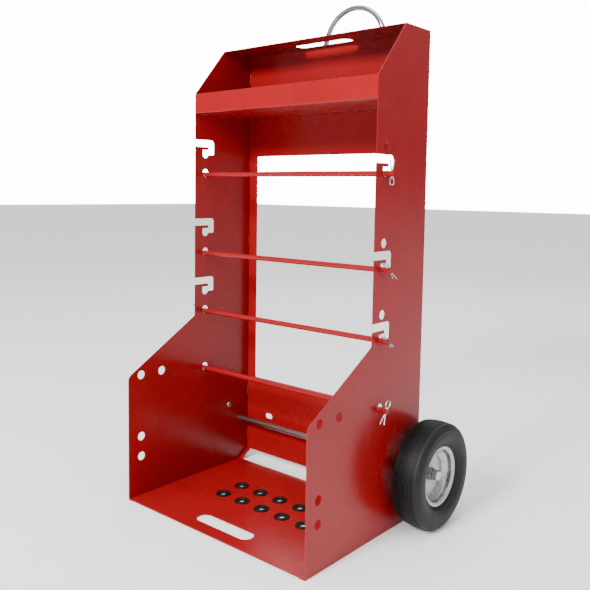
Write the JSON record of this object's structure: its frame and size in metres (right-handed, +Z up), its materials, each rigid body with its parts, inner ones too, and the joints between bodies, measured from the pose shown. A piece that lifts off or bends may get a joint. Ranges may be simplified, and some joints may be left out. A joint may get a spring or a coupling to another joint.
{
  "type": "wire spool cart",
  "caption": "Two-wheeled sheet-steel reel cart with removable cross rods, J-slotted sides, tool tray, cable grommets and a rear loop handle.",
  "frame": {"origin": "centre of the overall footprint on the floor", "axes": "+Z up, -Y towards the open front where reels are loaded, +X to the right seen from the front"},
  "size_m": [0.769, 0.538, 1.285],
  "materials": {
    "red_powder_coat": "semi-gloss red powder coat on sheet steel",
    "chrome": "bright chrome-plated steel bar",
    "bare_steel": "plain drawn steel, lightly oiled",
    "zinc_plate": "bright zinc plate",
    "galvanised_rim": "pressed steel with dull bright zinc coat",
    "tyre_rubber": "matt black ribbed rubber",
    "grommet_rubber": "black rubber",
    "bush_plastic": "dark moulded nylon"
  },
  "bodies": {
    "cart_body": {"axle": "bare_steel", "back_panel": "red_powder_coat", "base_plate": "red_powder_coat", "grommet_1": "grommet_rubber", "grommet_10": "grommet_rubber", "grommet_2": "grommet_rubber", "grommet_3": "grommet_rubber", "grommet_4": "grommet_rubber", "grommet_5": "grommet_rubber", "grommet_6": "grommet_rubber", "grommet_7": "grommet_rubber", "grommet_8": "grommet_rubber", "grommet_9": "grommet_rubber", "handle": "chrome", "handle_bolts": "zinc_plate", "handle_nuts": "zinc_plate", "left_axle_cap": "zinc_plate", "left_axle_lug": "red_powder_coat", "left_inner_washer": "zinc_plate", "left_outer_washer": "zinc_plate", "left_side_panel": "red_powder_coat", "lug_bolts": "zinc_plate", "lug_nuts": "zinc_plate", "right_axle_cap": "zinc_plate", "right_axle_lug": "red_powder_coat", "right_inner_washer": "zinc_plate", "right_outer_washer": "zinc_plate", "right_side_panel": "red_powder_coat", "tool_tray": "red_powder_coat", "top_plate": "red_powder_coat"},
    "left_wheel": {"left_tyre": "tyre_rubber", "left_outer_rim": "galvanised_rim", "left_inner_rim": "galvanised_rim", "left_hub": "bare_steel", "left_inner_bush": "bush_plastic", "left_outer_bush": "bush_plastic"},
    "right_wheel": {"right_tyre": "tyre_rubber", "right_outer_rim": "galvanised_rim", "right_inner_rim": "galvanised_rim", "right_hub": "bare_steel", "right_inner_bush": "bush_plastic", "right_outer_bush": "bush_plastic"},
    "rod_1": {"spool_rod_1": "red_powder_coat", "spool_rod_1_pins": "zinc_plate"},
    "rod_2": {"spool_rod_2": "red_powder_coat", "spool_rod_2_pins": "zinc_plate"},
    "rod_3": {"spool_rod_3": "red_powder_coat", "spool_rod_3_pins": "zinc_plate"},
    "rod_4": {"spool_rod_4": "red_powder_coat", "spool_rod_4_pins": "zinc_plate"}
  },
  "joints": [
    {"name": "left_wheel_spin", "type": "hinge", "parent": "cart_body", "child": "left_wheel", "pos_m": [-0.3475, 0.127, 0.126], "axis": [1, 0, 0], "continuous": true},
    {"name": "right_wheel_spin", "type": "hinge", "parent": "cart_body", "child": "right_wheel", "pos_m": [0.3475, 0.127, 0.126], "axis": [1, 0, 0], "continuous": true},
    {"name": "rod_1_spin", "type": "hinge", "parent": "cart_body", "child": "rod_1", "pos_m": [0, -0.011, 0.8289], "axis": [1, 0, 0], "continuous": true},
    {"name": "rod_2_spin", "type": "hinge", "parent": "cart_body", "child": "rod_2", "pos_m": [0, -0.011, 0.6164], "axis": [1, 0, 0], "continuous": true},
    {"name": "rod_3_spin", "type": "hinge", "parent": "cart_body", "child": "rod_3", "pos_m": [0, -0.011, 0.4569], "axis": [1, 0, 0], "continuous": true},
    {"name": "rod_4_spin", "type": "hinge", "parent": "cart_body", "child": "rod_4", "pos_m": [0, -0.011, 0.2979], "axis": [1, 0, 0], "continuous": true}
  ]
}
